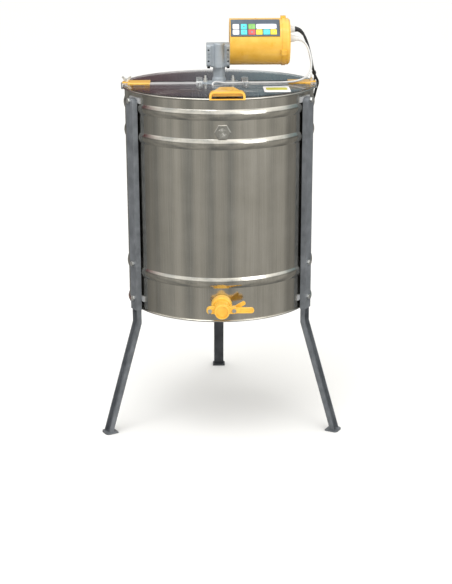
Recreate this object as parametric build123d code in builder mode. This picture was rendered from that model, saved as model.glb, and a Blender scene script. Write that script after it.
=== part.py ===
from build123d import *
import math
import os

os.makedirs("parts", exist_ok=True)

# Radial honey extractor. Millimetres, +Z up, origin on the floor under the drum's axis,
# the honey valve facing -Y and the motor towards +X.

# ---- driving dimensions ----
drum_radius = 262.5
drum_wall = 1.2
drum_bottom = 354.0
rim_top = 964.0
rim_tube = 3.1
bead_tube = 2.4
rib_heights = (464.0, 842.0, 919.5)
rib_rise = 3.5
rib_half = 14.5

floor_edge_z = 370.0
floor_centre_z = 396.0
floor_sheet = 1.5

leg_azimuths = {"left": 210, "right": 330, "back": 90}
leg_web_radius = 282.0
leg_width = 35.5
leg_depth = 15.5
leg_sheet = 2.5
upper_leg_top = 947.5
upper_leg_end = 353.0
lower_leg_top = 500.0
bend_height = 313.0
splay = 17.7
foot_sheet = 4.0
foot_hole_radius = 4.5
foot_circle_radius = 372.0
leg_bolt_heights = (940.0, 487.0, 387.0)
lower_bolt_height = 367.0

bar_half_width = 27.0
bar_length = 530.0
bar_sheet = 2.5
bar_depth = 11.5
bar_top = rim_top + bar_sheet

lid_radius = 267.0
lid_sheet = 4.0
lid_bottom = rim_top + 0.6
lid_top = lid_bottom + lid_sheet
lid_edge_y = 31.5
hinge_y = 33.0
hinge_z = lid_top + 4.0
hinge_places = (-55.0, 72.0)
knuckle_radius = 3.4
leaf_sheet = 2.5

shaft_radius = 8.0
running_gap = 0.05

housing_radius = 63.0
housing_wall = 3.0
housing_axis_z = 1080.0
housing_start = 29.0
housing_end = 172.0
worm_y = 22.6
worm_z = 1050.0

valve_z = 404.0


def export(build, label):
    """Name a finished piece and write its STEP file."""
    build.part.label = label
    export_step(build.part, f"parts/{label}.step")


def block(low, high, mode=Mode.ADD):
    """A box between two corners."""
    with Locations(tuple((a + b) / 2 for a, b in zip(low, high))):
        Box(*(b - a for a, b in zip(low, high)), mode=mode)


def rod(start, direction, radius, length, mode=Mode.ADD):
    """A round bar from a point, along a direction."""
    with BuildSketch(Plane(origin=start, z_dir=direction)) as disc:
        Circle(radius)
    extrude(disc.sketch, amount=length, mode=mode)


def nut(start, direction, radius, length, mode=Mode.ADD):
    """A hexagonal bar from a point, along a direction."""
    with BuildSketch(Plane(origin=start, z_dir=direction)) as hexagon:
        RegularPolygon(radius, 6)
    extrude(hexagon.sketch, amount=length, mode=mode)


def radial_plane(azimuth):
    """The upright plane through the drum's axis: x runs outward, y runs up."""
    angle = math.radians(azimuth)
    outward = (math.cos(angle), math.sin(angle), 0)
    return Plane(origin=(0, 0, 0), x_dir=outward, z_dir=(math.sin(angle), -math.cos(angle), 0))


def bore_plane(azimuth, radius, height):
    """A plane facing outward from the drum's axis, at a radius and a height."""
    angle = math.radians(azimuth)
    outward = Vector(math.cos(angle), math.sin(angle), 0)
    side = Vector(-math.sin(angle), math.cos(angle), 0)
    return Plane(origin=outward * radius + Vector(0, 0, height), x_dir=side, z_dir=outward)


# ======== drum ========
def wall_side(radius):
    """One side of the drum's wall, from its foot to its rim, with the pressed ribs."""
    height = drum_bottom + bead_tube
    for rib in rib_heights:
        Line((radius, height), (radius, rib - rib_half))
        ThreePointArc((radius, rib - rib_half), (radius + rib_rise, rib), (radius, rib + rib_half))
        height = rib + rib_half
    Line((radius, height), (radius, rim_top - rim_tube))


inner_radius = drum_radius - drum_wall
wall_foot = drum_bottom + bead_tube
wall_head = rim_top - rim_tube
socket_radius = 25.5

with BuildPart() as drum_shell:
    with BuildSketch(Plane.XZ):
        with BuildLine():
            wall_side(drum_radius)
            wall_side(inner_radius)
            Line((inner_radius, wall_foot), (drum_radius, wall_foot))
            Line((inner_radius, wall_head), (drum_radius, wall_head))
        make_face()
        with Locations((drum_radius + 2.0, wall_head)):
            Circle(rim_tube)
        with Locations((drum_radius + 1.4, wall_foot)):
            Circle(bead_tube)
    revolve(axis=Axis.Z)
    with BuildSketch(bore_plane(-90, drum_radius - 8, valve_z)):
        Circle(socket_radius)
    extrude(amount=16, mode=Mode.SUBTRACT)
    for azimuth in leg_azimuths.values():
        for height in (leg_bolt_heights[0], leg_bolt_heights[2]):
            with BuildSketch(bore_plane(azimuth, drum_radius - 8, height)):
                Circle(4.2)
            extrude(amount=16, mode=Mode.SUBTRACT)
export(drum_shell, "drum_shell")

bearing_seat = 22.0
with BuildPart() as drum_floor:
    with BuildSketch(Plane.XZ):
        with BuildLine():
            Polyline(
                (inner_radius, floor_edge_z - 12),
                (inner_radius, floor_edge_z),
                (bearing_seat, floor_centre_z),
                (bearing_seat, floor_centre_z - floor_sheet),
                (inner_radius - floor_sheet, floor_edge_z - floor_sheet),
                (inner_radius - floor_sheet, floor_edge_z - 12),
                close=True,
            )
        make_face()
    revolve(axis=Axis.Z)
export(drum_floor, "drum_floor")

badge_x = 4.5
badge_z = 875.0
with BuildPart() as badge:
    with BuildSketch(Plane((badge_x, -drum_radius, badge_z), x_dir=(1, 0, 0), z_dir=(0, -1, 0))):
        RegularPolygon(22, 6, rotation=0)
    extrude(amount=3.5)
    chamfer(badge.faces().sort_by(Axis.Y)[0].edges(), 1.2)
    with BuildSketch(Plane((badge_x, -drum_radius - 3.5, badge_z), x_dir=(1, 0, 0), z_dir=(0, -1, 0))):
        Circle(13)
    extrude(amount=-1.0, mode=Mode.SUBTRACT)
export(badge, "badge")

# a rod with an upturned end, welded to the wall, that the stored mains cord hangs from
hook_azimuth = 48
hook_z = 870.5
hook_reach = 34.0
with BuildPart() as cord_hook:
    hook_line = radial_plane(hook_azimuth)
    with BuildLine(hook_line):
        FilletPolyline(
            (drum_radius + 0.2, hook_z),
            (drum_radius + hook_reach, hook_z),
            (drum_radius + hook_reach, hook_z + 22),
            radius=7,
        )
    with BuildSketch(bore_plane(hook_azimuth, drum_radius + 0.2, hook_z)):
        Circle(3)
    sweep()
    with BuildSketch(bore_plane(hook_azimuth, drum_radius + 0.1, hook_z)):
        Circle(7)
    extrude(amount=1.5)
export(cord_hook, "cord_hook")

# ======== legs ========
splay_angle = math.radians(splay)
web_inner = leg_web_radius - leg_depth
foot_top = foot_sheet


def lower_leg_side(offset):
    """Three points of the lower leg's side view, at a distance outward from its web."""
    mitre = bend_height + offset * math.tan(splay_angle / 2)
    end = web_inner + offset / math.cos(splay_angle) + (bend_height - foot_top) * math.tan(splay_angle)
    return [(web_inner + offset, lower_leg_top), (web_inner + offset, mitre), (end, foot_top)]


def leg_holes(azimuth, heights):
    """Bolt holes through a leg's web at the given heights."""
    for height in heights:
        with BuildSketch(bore_plane(azimuth, drum_radius - 2, height)) as hole:
            Circle(4.2)
        extrude(hole.sketch, amount=30, mode=Mode.SUBTRACT)


nest_depth = leg_depth - leg_sheet - 0.2
nest_width = leg_width - 2 * leg_sheet - 0.4
upper_leg_height = upper_leg_top - upper_leg_end
upper_leg_middle = upper_leg_end + upper_leg_height / 2

for name, azimuth in leg_azimuths.items():
    side = radial_plane(azimuth)
    web_face = bore_plane(azimuth, leg_web_radius, 0)
    with BuildPart() as upper_leg:
        with BuildSketch(web_face) as outline:
            with Locations((0, upper_leg_middle)):
                Rectangle(leg_width, upper_leg_height)
            fillet(outline.vertices().group_by(Axis.Y)[-1], 12)
        extrude(amount=-leg_depth)
        with BuildSketch(web_face.offset(-leg_sheet)) as trough:
            with Locations((0, upper_leg_middle - leg_sheet)):
                Rectangle(leg_width - 2 * leg_sheet, upper_leg_height)
            fillet(trough.vertices().group_by(Axis.Y)[-1], 12 - leg_sheet)
        extrude(amount=-leg_depth, mode=Mode.SUBTRACT)
        leg_holes(azimuth, leg_bolt_heights)
    export(upper_leg, f"{name}_leg_upper")

    with BuildPart() as lower_leg:
        with BuildSketch(side):
            with BuildLine():
                Polyline(*lower_leg_side(0), *reversed(lower_leg_side(nest_depth)), close=True)
            make_face()
        extrude(amount=nest_width / 2, both=True)
        with BuildSketch(side):
            with BuildLine():
                Polyline(*lower_leg_side(leg_sheet), *reversed(lower_leg_side(nest_depth + 20)), close=True)
            make_face()
        extrude(amount=nest_width / 2 - leg_sheet, both=True, mode=Mode.SUBTRACT)
        with BuildSketch(Plane.XY.rotated((0, 0, azimuth))) as foot:
            with Locations((foot_circle_radius - 3, 0)):
                Rectangle(36, leg_width + 3)
            fillet(foot.vertices().group_by(Axis.X)[-1], 10)
        extrude(amount=foot_sheet)
        leg_holes(azimuth, (leg_bolt_heights[1], leg_bolt_heights[2], lower_bolt_height))
        with BuildSketch(Plane.XY.rotated((0, 0, azimuth))):
            with Locations((foot_circle_radius, 0)):
                Circle(foot_hole_radius)
        extrude(amount=foot_sheet, mode=Mode.SUBTRACT)
    export(lower_leg, f"{name}_leg_lower")

# pads between the drum's wall and each leg, under the rim and near the floor
pad_height = 14.5
pad_span = 12.6
pad_heights = (941.8, leg_bolt_heights[2])
with BuildPart() as leg_pads:
    for azimuth in leg_azimuths.values():
        for height in pad_heights:
            with BuildSketch(radial_plane(azimuth - pad_span / 2)):
                with Locations(((drum_radius + web_inner) / 2, height)):
                    Rectangle(web_inner - drum_radius, pad_height)
            revolve(axis=Axis.Z, revolution_arc=pad_span)
        leg_holes(azimuth, leg_bolt_heights)
export(leg_pads, "leg_pads")


def hex_bolt(azimuth, height, tip_radius):
    """A hex bolt through a leg, its head outside the web and its shank pointing at the axis."""
    seat = bore_plane(azimuth, leg_web_radius, height)
    with BuildSketch(seat) as head:
        RegularPolygon(7.4, 6)
    extrude(head.sketch, amount=5.2)
    with BuildSketch(seat) as shank:
        Circle(4.0)
    extrude(shank.sketch, amount=tip_radius - leg_web_radius)
    with BuildSketch(seat.offset(tip_radius - leg_web_radius)) as end_nut:
        RegularPolygon(7.4, 6)
    extrude(end_nut.sketch, amount=5.0)


with BuildPart() as leg_bolts:
    for azimuth in leg_azimuths.values():
        hex_bolt(azimuth, leg_bolt_heights[0], inner_radius - 5.2)
        hex_bolt(azimuth, leg_bolt_heights[2], inner_radius - 5.2)
        hex_bolt(azimuth, leg_bolt_heights[1], leg_web_radius - 2 * leg_sheet - 5.2)
export(leg_bolts, "leg_bolts")

# ======== honey valve ========
valve_ear_x = 32.5
ear_radius = 9.0
tail_back = -251.0
outward = (0, -1, 0)
inward = (0, 1, 0)


def valve_plane(y):
    """An upright plane facing -Y, with its origin on the valve's axis."""
    return Plane(origin=(0, y, valve_z), x_dir=(1, 0, 0), z_dir=outward)


with BuildPart() as valve_nut:
    with BuildSketch(valve_plane(tail_back)):
        RegularPolygon(31, 6, rotation=30)
    extrude(amount=8)
    rod((0, tail_back, valve_z), outward, socket_radius, 8, Mode.SUBTRACT)
export(valve_nut, "valve_nut")

with BuildPart() as valve_seal:
    rod((0, -drum_radius, valve_z), outward, 28.0, 1.5)
    rod((0, -drum_radius, valve_z), outward, socket_radius, 1.5, Mode.SUBTRACT)
export(valve_seal, "valve_seal")

dome_radius = 28.5
neck_radius = 22.0
body_back = -drum_radius - 1.5
dome_front = -290.0
ear_back = -304.0
ear_front = -311.0
with BuildPart() as valve_body:
    rod((0, body_back, valve_z), outward, dome_radius, body_back - dome_front)
    fillet(valve_body.edges().group_by(Axis.Y)[0], 6)
    rod((0, dome_front, valve_z), outward, neck_radius, dome_front - ear_back)
    with BuildSketch(valve_plane(ear_back)):
        SlotCenterToCenter(2 * valve_ear_x, 2 * ear_radius)
        Circle(neck_radius)
    extrude(amount=ear_back - ear_front)
    rod((0, tail_back, valve_z), outward, socket_radius, tail_back - body_back)
    rod((0, tail_back, valve_z), outward, 18, 70, Mode.SUBTRACT)
    for x in (-valve_ear_x, valve_ear_x):
        rod((x, ear_back, valve_z), outward, 3.0, 10, Mode.SUBTRACT)
export(valve_body, "valve_body")

gate_back = ear_front - 0.3
gate_front = gate_back - 7.0
lever_end = 86.0
with BuildPart() as valve_gate:
    with BuildSketch(valve_plane(gate_back)):
        SlotCenterToCenter(2 * valve_ear_x, 2 * ear_radius)
        Circle(21)
        with Locations((valve_ear_x / 2 + lever_end / 2 - 3.75, 0)):
            SlotOverall(lever_end - valve_ear_x + 7.5, 15)
    extrude(amount=gate_back - gate_front)
    rod((0, gate_front, valve_z), outward, 20, 15)
    fillet(valve_gate.edges().filter_by(GeomType.CIRCLE).group_by(Axis.Y)[0], 2)
    rod((0, gate_front - 15, valve_z), inward, 16.5, 4, Mode.SUBTRACT)
    rod((valve_ear_x, gate_back, valve_z), outward, 3.0 + running_gap, 10, Mode.SUBTRACT)
    rod((-valve_ear_x, gate_back, valve_z), outward, 3.4, 10, Mode.SUBTRACT)
    block((-valve_ear_x - 3.4, gate_front - 1, valve_z - 12), (-valve_ear_x + 3.4, gate_back, valve_z), Mode.SUBTRACT)
    with BuildSketch(valve_plane(gate_front)):
        with Locations(((valve_ear_x + lever_end) / 2 + 6, 0)):
            SlotOverall(34, 7)
    extrude(amount=-1.5, mode=Mode.SUBTRACT)
export(valve_gate, "valve_gate")

with BuildPart() as valve_screws:
    for x, tip in ((-valve_ear_x, -296), (valve_ear_x, -291)):
        rod((x, gate_front - 0.3, valve_z), outward, 5.5, 4)
        rod((x, gate_front - 0.3, valve_z), inward, 3.0, tip - gate_front + 0.3)
    nut((-valve_ear_x, ear_back, valve_z), inward, 6, 4.5)
export(valve_screws, "valve_screws")

thumb_degrees = 30.0
thumb_angle = math.radians(thumb_degrees)
thumb_reach = 31.0
with BuildPart() as valve_thumb_nut:
    rod((valve_ear_x, ear_back + 0.4, valve_z), inward, 7.5, 8)
    with BuildSketch(valve_plane(ear_back + 7)):
        with Locations(
            Location(
                (
                    valve_ear_x + thumb_reach / 2 * math.cos(thumb_angle),
                    thumb_reach / 2 * math.sin(thumb_angle),
                ),
                thumb_degrees,
            )
        ):
            SlotOverall(thumb_reach + 8, 11)
    extrude(amount=4)
    rod((valve_ear_x, ear_back, valve_z), inward, 3.0 + running_gap, 12, Mode.SUBTRACT)
export(valve_thumb_nut, "valve_thumb_nut")

# ======== cross bar and its clamps ========
flange_end = 250.0
plate_bolt_places = [(x, y) for x in (-38, 38) for y in (-12, 12)]
clamp_bolt_x = 256.5
with BuildPart() as cross_bar:
    block((-bar_length / 2, -bar_half_width, rim_top), (bar_length / 2, bar_half_width, bar_top))
    for y in (-bar_half_width, bar_half_width - bar_sheet):
        block((-flange_end, y, bar_top - bar_depth), (flange_end, y + bar_sheet, rim_top))
    rod((0, 0, rim_top), (0, 0, 1), 14, bar_sheet, Mode.SUBTRACT)
    for x, y in plate_bolt_places:
        rod((x, y, rim_top), (0, 0, 1), 3.0, bar_sheet, Mode.SUBTRACT)
    for x in (-clamp_bolt_x, clamp_bolt_x):
        rod((x, 0, rim_top), (0, 0, 1), 3.0, bar_sheet, Mode.SUBTRACT)
export(cross_bar, "cross_bar")

clamp_inner = 191.5
clamp_outer = 252.0
clamp_half = 30.0
clamp_bottom = 951.0
clamp_top = 972.0
hook_sheet = 2.5
hook_half = 10.0
hook_outer = 272.0
wing_z = clamp_top + 0.3

for name, side in (("left", -1), ("right", 1)):
    with BuildPart() as clamp:
        block(
            (min(side * clamp_inner, side * clamp_outer), -clamp_half, clamp_bottom),
            (max(side * clamp_inner, side * clamp_outer), clamp_half, clamp_top),
        )
        fillet(clamp.edges().filter_by(Axis.X), 3)
        block(
            (min(side * (clamp_outer - 5), side * 268), -14, bar_top + hook_sheet),
            (max(side * (clamp_outer - 5), side * 268), 14, clamp_top),
        )
        block((-300, -bar_half_width, bar_top - bar_depth), (300, bar_half_width, bar_top), Mode.SUBTRACT)
        window = sorted((side * 205, side * 238))
        block((window[0], -40, 957.5), (window[1], -20, 966), Mode.SUBTRACT)
        pocket = sorted((side * 246, side * 300))
        block((pocket[0], -hook_half, bar_top), (pocket[1], hook_half, bar_top + hook_sheet), Mode.SUBTRACT)
        rod((side * clamp_bolt_x, 0, bar_top), (0, 0, 1), 3.0, 20, Mode.SUBTRACT)
    export(clamp, f"{name}_clamp")

    with BuildPart() as wing_nut:
        rod((side * clamp_bolt_x, 0, wing_z), (0, 0, 1), 6, 6)
        wing_plane = Plane.XZ if side < 0 else Plane.YZ
        wing_plane = Plane(origin=(side * clamp_bolt_x, 0, wing_z), x_dir=wing_plane.x_dir, z_dir=wing_plane.z_dir)
        with BuildSketch(wing_plane):
            for lobe in (-1, 1):
                with BuildLine():
                    Polyline((0, 3), (lobe * 8, 4), (lobe * 14, 12), (lobe * 10, 15), (0, 6), close=True)
                make_face()
        extrude(amount=1.3, both=True)
        rod((side * clamp_bolt_x, 0, wing_z), (0, 0, 1), 3.0 + running_gap, 14, Mode.SUBTRACT)
    export(wing_nut, f"{name}_wing_nut")

# steel plates that grip under the rolled rim, each with its clamping stud
with BuildPart() as rim_hooks:
    for side in (-1, 1):
        reach = sorted((side * 246.3, side * hook_outer))
        drop = sorted((side * (hook_outer - hook_sheet), side * hook_outer))
        lip = sorted((side * 264.5, side * hook_outer))
        block((reach[0], -hook_half, bar_top), (reach[1], hook_half, bar_top + hook_sheet))
        block((drop[0], -hook_half, 952.5), (drop[1], hook_half, bar_top + hook_sheet))
        block((lip[0], -hook_half, 952.5), (lip[1], hook_half, 955))
        rod((side * clamp_bolt_x, 0, rim_top - 4), (0, 0, 1), 3.0, wing_z + 12 - rim_top)
        nut((side * clamp_bolt_x, 0, rim_top - 4), (0, 0, 1), 4.4, 4)
export(rim_hooks, "rim_hooks")

# ======== gearbox on its column ========
column_top = 1013.0
column_radius = 16.7
column_bore = 12.0
plate_top = bar_top + 4.5
with BuildPart() as gearbox_column:
    with BuildSketch(Plane.XY.offset(bar_top)) as foot_plate:
        Rectangle(104, 38)
        fillet(foot_plate.vertices(), 4)
    extrude(amount=plate_top - bar_top)
    with BuildSketch(Plane.XZ):
        with BuildLine():
            Polyline(
                (0, plate_top),
                (19.5, plate_top),
                (19, plate_top + 9),
                (column_radius, plate_top + 14),
                (column_radius, column_top),
                (0, column_top),
                close=True,
            )
        make_face()
    revolve(axis=Axis.Z)
    rod((0, 0, bar_top), (0, 0, 1), column_bore, 60, Mode.SUBTRACT)
    block((-60, 12, bar_top - 1), (-45.5, 30, plate_top + 1), Mode.SUBTRACT)
    for x, y in plate_bolt_places:
        rod((x, y, bar_top), (0, 0, 1), 3.0, 10, Mode.SUBTRACT)
export(gearbox_column, "gearbox_column")

with BuildPart() as plate_bolts:
    for x, y in plate_bolt_places:
        nut((x, y, rim_top), (0, 0, -1), 5.5, 4)
        rod((x, y, rim_top), (0, 0, 1), 3.0, 22)
        rod((x, y, plate_top), (0, 0, 1), 6.5, 1.2)
        nut((x, y, plate_top + 1.2), (0, 0, 1), 5.5, 5.5)
export(plate_bolts, "plate_bolts")

box_left = -23.0
box_right = 20.0
box_top = 1079.0
cover_left = -35.0
cavity_low = 1036.0
cavity_high = 1064.0
front_face_y = -31.0
with BuildPart() as gearbox_housing:
    block((box_left, -26, column_top), (box_right, 36, 1075))
    fillet(gearbox_housing.edges().filter_by(Axis.X), 5)
    with BuildSketch(Plane.XY.offset(column_top)):
        with Locations((0, -19)):
            Circle(16)
    extrude(amount=box_top - column_top)
    fillet(gearbox_housing.edges().group_by(Axis.Z)[-1], 5)
    with BuildSketch(Plane.YZ.offset(box_right)) as flange_outline:
        with Locations((3, 1045)):
            Rectangle(68, 60)
        fillet(flange_outline.vertices(), 8)
    extrude(amount=housing_start - box_right)
    block((box_left, -18, cavity_low), (16, 31, cavity_high), Mode.SUBTRACT)
    rod((0, 0, column_top), (0, 0, 1), shaft_radius + running_gap, 30, Mode.SUBTRACT)
    rod((0, 0, cavity_high), (0, 0, 1), shaft_radius + running_gap, 6, Mode.SUBTRACT)
    rod((16, worm_y, worm_z), (1, 0, 0), 5 + running_gap, 20, Mode.SUBTRACT)
    for z in (1030, 1060):
        rod(((box_right + housing_start) / 2, front_face_y, z), (0, 1, 0), 2.6, 7, Mode.SUBTRACT)
    for z in (1041, 1049):
        block((box_right + 2, front_face_y, z - 2), (housing_start - 2, front_face_y + 4, z + 2), Mode.SUBTRACT)
export(gearbox_housing, "gearbox_housing")

with BuildPart() as gearbox_cover:
    with BuildSketch(Plane.YZ.offset(cover_left)) as cover_outline:
        with Locations((3, 1045)):
            Rectangle(68, 60)
        fillet(cover_outline.vertices(), 8)
    extrude(amount=box_left - cover_left)
    fillet(gearbox_cover.edges().group_by(Axis.X)[0], 2)
    rod((box_left, worm_y, worm_z), (-1, 0, 0), 5 + running_gap, 6, Mode.SUBTRACT)
    for z in (1030, 1060):
        rod(((cover_left + box_left) / 2, front_face_y, z), (0, 1, 0), 2.6, 7, Mode.SUBTRACT)
    for z in (1041, 1049):
        block((cover_left + 4, front_face_y, z - 2), (box_left - 3, front_face_y + 4, z + 2), Mode.SUBTRACT)
export(gearbox_cover, "gearbox_cover")

with BuildPart() as gearbox_screws:
    for x in ((cover_left + box_left) / 2, (box_right + housing_start) / 2):
        for z in (1030, 1060):
            rod((x, front_face_y + 4, z), (0, 1, 0), 2.6, 3)
        for y in (-22, 28):
            nut((x, y, 1015), (0, 0, -1), 4.2, 5)
export(gearbox_screws, "gearbox_screws")

# ======== reel ========
reel_radius = 234.0
reel_low = 418.0
reel_high = 892.0
ring_height = 16.0
hub_radius = 20.0
spoke_count = 9
bar_radius = 3.0
inner_bar_radius = 60.0
pivot_z = floor_centre_z + 2
with BuildPart() as reel_shaft:
    rod((0, 0, pivot_z + 0.5), (0, 0, 1), shaft_radius, 1068 - pivot_z)
export(reel_shaft, "reel_shaft")

with BuildPart() as reel_wheels:
    for z in (reel_low, reel_high):
        with BuildSketch(Plane.XY.offset(z)):
            Circle(reel_radius)
            Circle(reel_radius - 3, mode=Mode.SUBTRACT)
            Circle(hub_radius)
            Circle(shaft_radius, mode=Mode.SUBTRACT)
        extrude(amount=ring_height)
        for number in range(spoke_count):
            angle = math.radians(20 + number * 360 / spoke_count)
            along = (math.cos(angle), math.sin(angle), 0)
            start = (along[0] * (hub_radius - 4), along[1] * (hub_radius - 4), z + ring_height / 2)
            rod(start, along, bar_radius, reel_radius - 1.5 - hub_radius + 4)
export(reel_wheels, "reel_wheels")

with BuildPart() as reel_bars:
    low = reel_low + ring_height
    with BuildSketch(Plane.XY.offset(low)):
        with PolarLocations(reel_radius - 3, spoke_count, start_angle=20):
            Circle(bar_radius)
    extrude(amount=reel_high - low)
    low = reel_low + ring_height / 2 + bar_radius
    high = reel_high + ring_height / 2 - bar_radius
    with BuildSketch(Plane.XY.offset(low)):
        with PolarLocations(inner_bar_radius, spoke_count, start_angle=20):
            Circle(bar_radius)
    extrude(amount=high - low)
export(reel_bars, "reel_bars")

with BuildPart() as reel_bearings:
    rod((0, 0, pivot_z - 8), (0, 0, 1), bearing_seat, 20)
    rod((0, 0, pivot_z), (0, 0, 1), shaft_radius + running_gap, 20, Mode.SUBTRACT)
    for z in (plate_top + 4, column_top - 14):
        rod((0, 0, z), (0, 0, 1), column_bore, 12)
        rod((0, 0, z), (0, 0, 1), shaft_radius + running_gap, 12, Mode.SUBTRACT)
export(reel_bearings, "reel_bearings")

tooth_count = 30
wheel_radius = 15.5
with BuildPart() as worm_wheel:
    with BuildSketch(Plane.XY.offset(worm_z - 6)):
        Circle(wheel_radius)
        Circle(shaft_radius, mode=Mode.SUBTRACT)
        with PolarLocations(wheel_radius + 0.2, tooth_count):
            Circle(0.85, mode=Mode.SUBTRACT)
    extrude(amount=12)
export(worm_wheel, "worm_wheel")

worm_radius = 6.5
worm_pitch = 3.2
motor_start = housing_start + 4
motor_end = motor_start + 108
with BuildPart() as motor_shaft:
    rod((cover_left + 7, worm_y, worm_z), (1, 0, 0), 5, motor_end - 4 - cover_left - 7)
    for turn in range(7):
        centre = (turn - 3) * worm_pitch
        with BuildSketch(Plane.XZ.offset(-worm_y)):
            with BuildLine():
                Polyline(
                    (centre - 1.3, worm_z + 4.5),
                    (centre - 0.6, worm_z + worm_radius),
                    (centre + 0.6, worm_z + worm_radius),
                    (centre + 1.3, worm_z + 4.5),
                    close=True,
                )
            make_face()
        revolve(axis=Axis((0, worm_y, worm_z), (1, 0, 0)))
    rod((motor_start + 8, worm_y, worm_z), (1, 0, 0), 17.5, 90)
export(motor_shaft, "motor_shaft")

with BuildPart() as motor_can:
    rod((motor_start, worm_y, worm_z), (1, 0, 0), 21, motor_end - motor_start)
    rod((motor_start + 4, worm_y, worm_z), (1, 0, 0), 18.2, motor_end - motor_start - 8, Mode.SUBTRACT)
    rod((motor_start, worm_y, worm_z), (1, 0, 0), 5 + running_gap, 20, Mode.SUBTRACT)
export(motor_can, "motor_can")

# ======== motor housing, control panel and keys ========
panel_tilt = 48
panel_angle = math.radians(panel_tilt)
panel_normal = Vector(0, -math.cos(panel_angle), math.sin(panel_angle))
facet_depth = 52.8
panel_low_x = 31.0
panel_high_x = 165.5
panel_half = 30.0
panel_sheet = 2.5
panel_middle_x = (panel_low_x + panel_high_x) / 2


def facet(distance):
    """The plane of the control panel, at a distance from the housing's axis."""
    centre = Vector(panel_middle_x, 0, housing_axis_z) + panel_normal * distance
    return Plane(origin=centre, x_dir=(1, 0, 0), z_dir=panel_normal)


with BuildPart() as motor_housing:
    rod((housing_start, 0, housing_axis_z), (1, 0, 0), housing_radius, housing_end - housing_start)
    with BuildSketch(facet(facet_depth)):
        Rectangle(panel_high_x - panel_low_x, 90)
    extrude(amount=20, mode=Mode.SUBTRACT)
    with BuildSketch(Plane.YZ.offset(motor_start)):
        with Locations((0, housing_axis_z)):
            Circle(housing_radius - housing_wall)
        beyond = panel_normal * (facet_depth - housing_wall + 50)
        with Locations((beyond.Y, housing_axis_z + beyond.Z)):
            Rectangle(100, 200, rotation=180 - panel_tilt, mode=Mode.SUBTRACT)
    extrude(amount=200, mode=Mode.SUBTRACT)
    rod((housing_start, worm_y, worm_z), (1, 0, 0), 5.5, 10, Mode.SUBTRACT)
export(motor_housing, "motor_housing")

cap_end = 194.0
mains_z = 1113.0
switch_z = 1089.0
switch_gland_y = -12.0
with BuildPart() as motor_end_cap:
    rod((housing_end, 0, housing_axis_z), (1, 0, 0), housing_radius + 2, 9)
    rod((housing_end + 9, 0, housing_axis_z), (1, 0, 0), housing_radius, cap_end - housing_end - 9)
    chamfer(motor_end_cap.edges().filter_by(GeomType.CIRCLE).group_by(Axis.X)[-1], 5)
    rod((housing_end, 0, housing_axis_z), (1, 0, 0), housing_radius - housing_wall, 18, Mode.SUBTRACT)
    for angle in (90, 200, 340):
        around = math.radians(angle)
        tab_plane = Plane(
            origin=(housing_end - 3, 0, housing_axis_z),
            x_dir=(0, math.cos(around), math.sin(around)),
            z_dir=(1, 0, 0),
        )
        with BuildSketch(tab_plane):
            with Locations((housing_radius + 3.4, 0)):
                Rectangle(6.4, 14)
        extrude(amount=14)
export(motor_end_cap, "motor_end_cap")

with BuildPart() as cable_glands:
    for y, z in ((0, mains_z), (switch_gland_y, switch_z)):
        nut((cap_end, y, z), (1, 0, 0), 11, 5)
        rod((cap_end + 5, y, z), (1, 0, 0), 9, 10)
    fillet(cable_glands.edges().filter_by(GeomType.CIRCLE).group_by(Axis.X)[-1], 3)
export(cable_glands, "cable_glands")

key_gap = 0.35
key_rows = {"upper": 4.0, "lower": -16.0}
keys = {
    "lamp_key_upper": (67.5, "upper", 16.5),
    "lamp_key_lower": (67.5, "lower", 16.5),
    "start_key": (89.0, "upper", 18.5),
    "stop_key": (89.0, "lower", 18.5),
    "minus_key": (109.0, "lower", 17.0),
    "menu_key": (129.0, "lower", 18.0),
    "plus_key": (148.0, "lower", 17.0),
}
key_height = 18.0
with BuildPart() as control_panel:
    with BuildSketch(facet(facet_depth)) as sheet:
        Rectangle(panel_high_x - panel_low_x - 1, 2 * panel_half)
        fillet(sheet.vertices(), 2)
    extrude(amount=panel_sheet)
    for x, row, width in keys.values():
        with BuildSketch(facet(facet_depth)):
            with Locations((x - panel_middle_x, key_rows[row])):
                Rectangle(width + 2 * key_gap, key_height + 2 * key_gap)
        extrude(amount=panel_sheet, mode=Mode.SUBTRACT)
export(control_panel, "control_panel")

key_lift = 0.9
for name, (x, row, width) in keys.items():
    with BuildPart() as key:
        with BuildSketch(facet(facet_depth + key_lift)) as pad:
            with Locations((x - panel_middle_x, key_rows[row])):
                Rectangle(width, key_height)
            fillet(pad.vertices(), 1.5)
        extrude(amount=2.4)
        fillet(key.faces().sort_by(lambda f: f.center().Z)[-1].edges(), 0.5)
    export(key, name)

# ======== lids, hinges, handle and switch ========
hinge_half = 8.5
pin_radius = 1.5
with BuildPart() as fixed_hinges:
    for x in hinge_places:
        for side in (-1, 1):
            near = sorted((side * bar_half_width, side * (bar_half_width + 2.2)))
            web = sorted((side * (bar_half_width + 2.0), side * hinge_y))
            block((x - hinge_half, near[0], 956), (x + hinge_half, near[1], hinge_z + 2))
            block((x - 3, web[0], hinge_z - 2), (x + 3, web[1], hinge_z + 2))
            rod((x - 3, side * hinge_y, hinge_z), (1, 0, 0), knuckle_radius, 6)
            rod((x - 3, side * hinge_y, hinge_z), (1, 0, 0), pin_radius + running_gap, 6, Mode.SUBTRACT)
        block((x - hinge_half, bar_half_width - 14, bar_top), (x + hinge_half, bar_half_width, bar_top + 13))
        block((x - 3.5, bar_half_width - 20, bar_top + 3), (x + 3.5, bar_half_width - 2, bar_top + 10), Mode.SUBTRACT)
export(fixed_hinges, "fixed_hinges")

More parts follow.
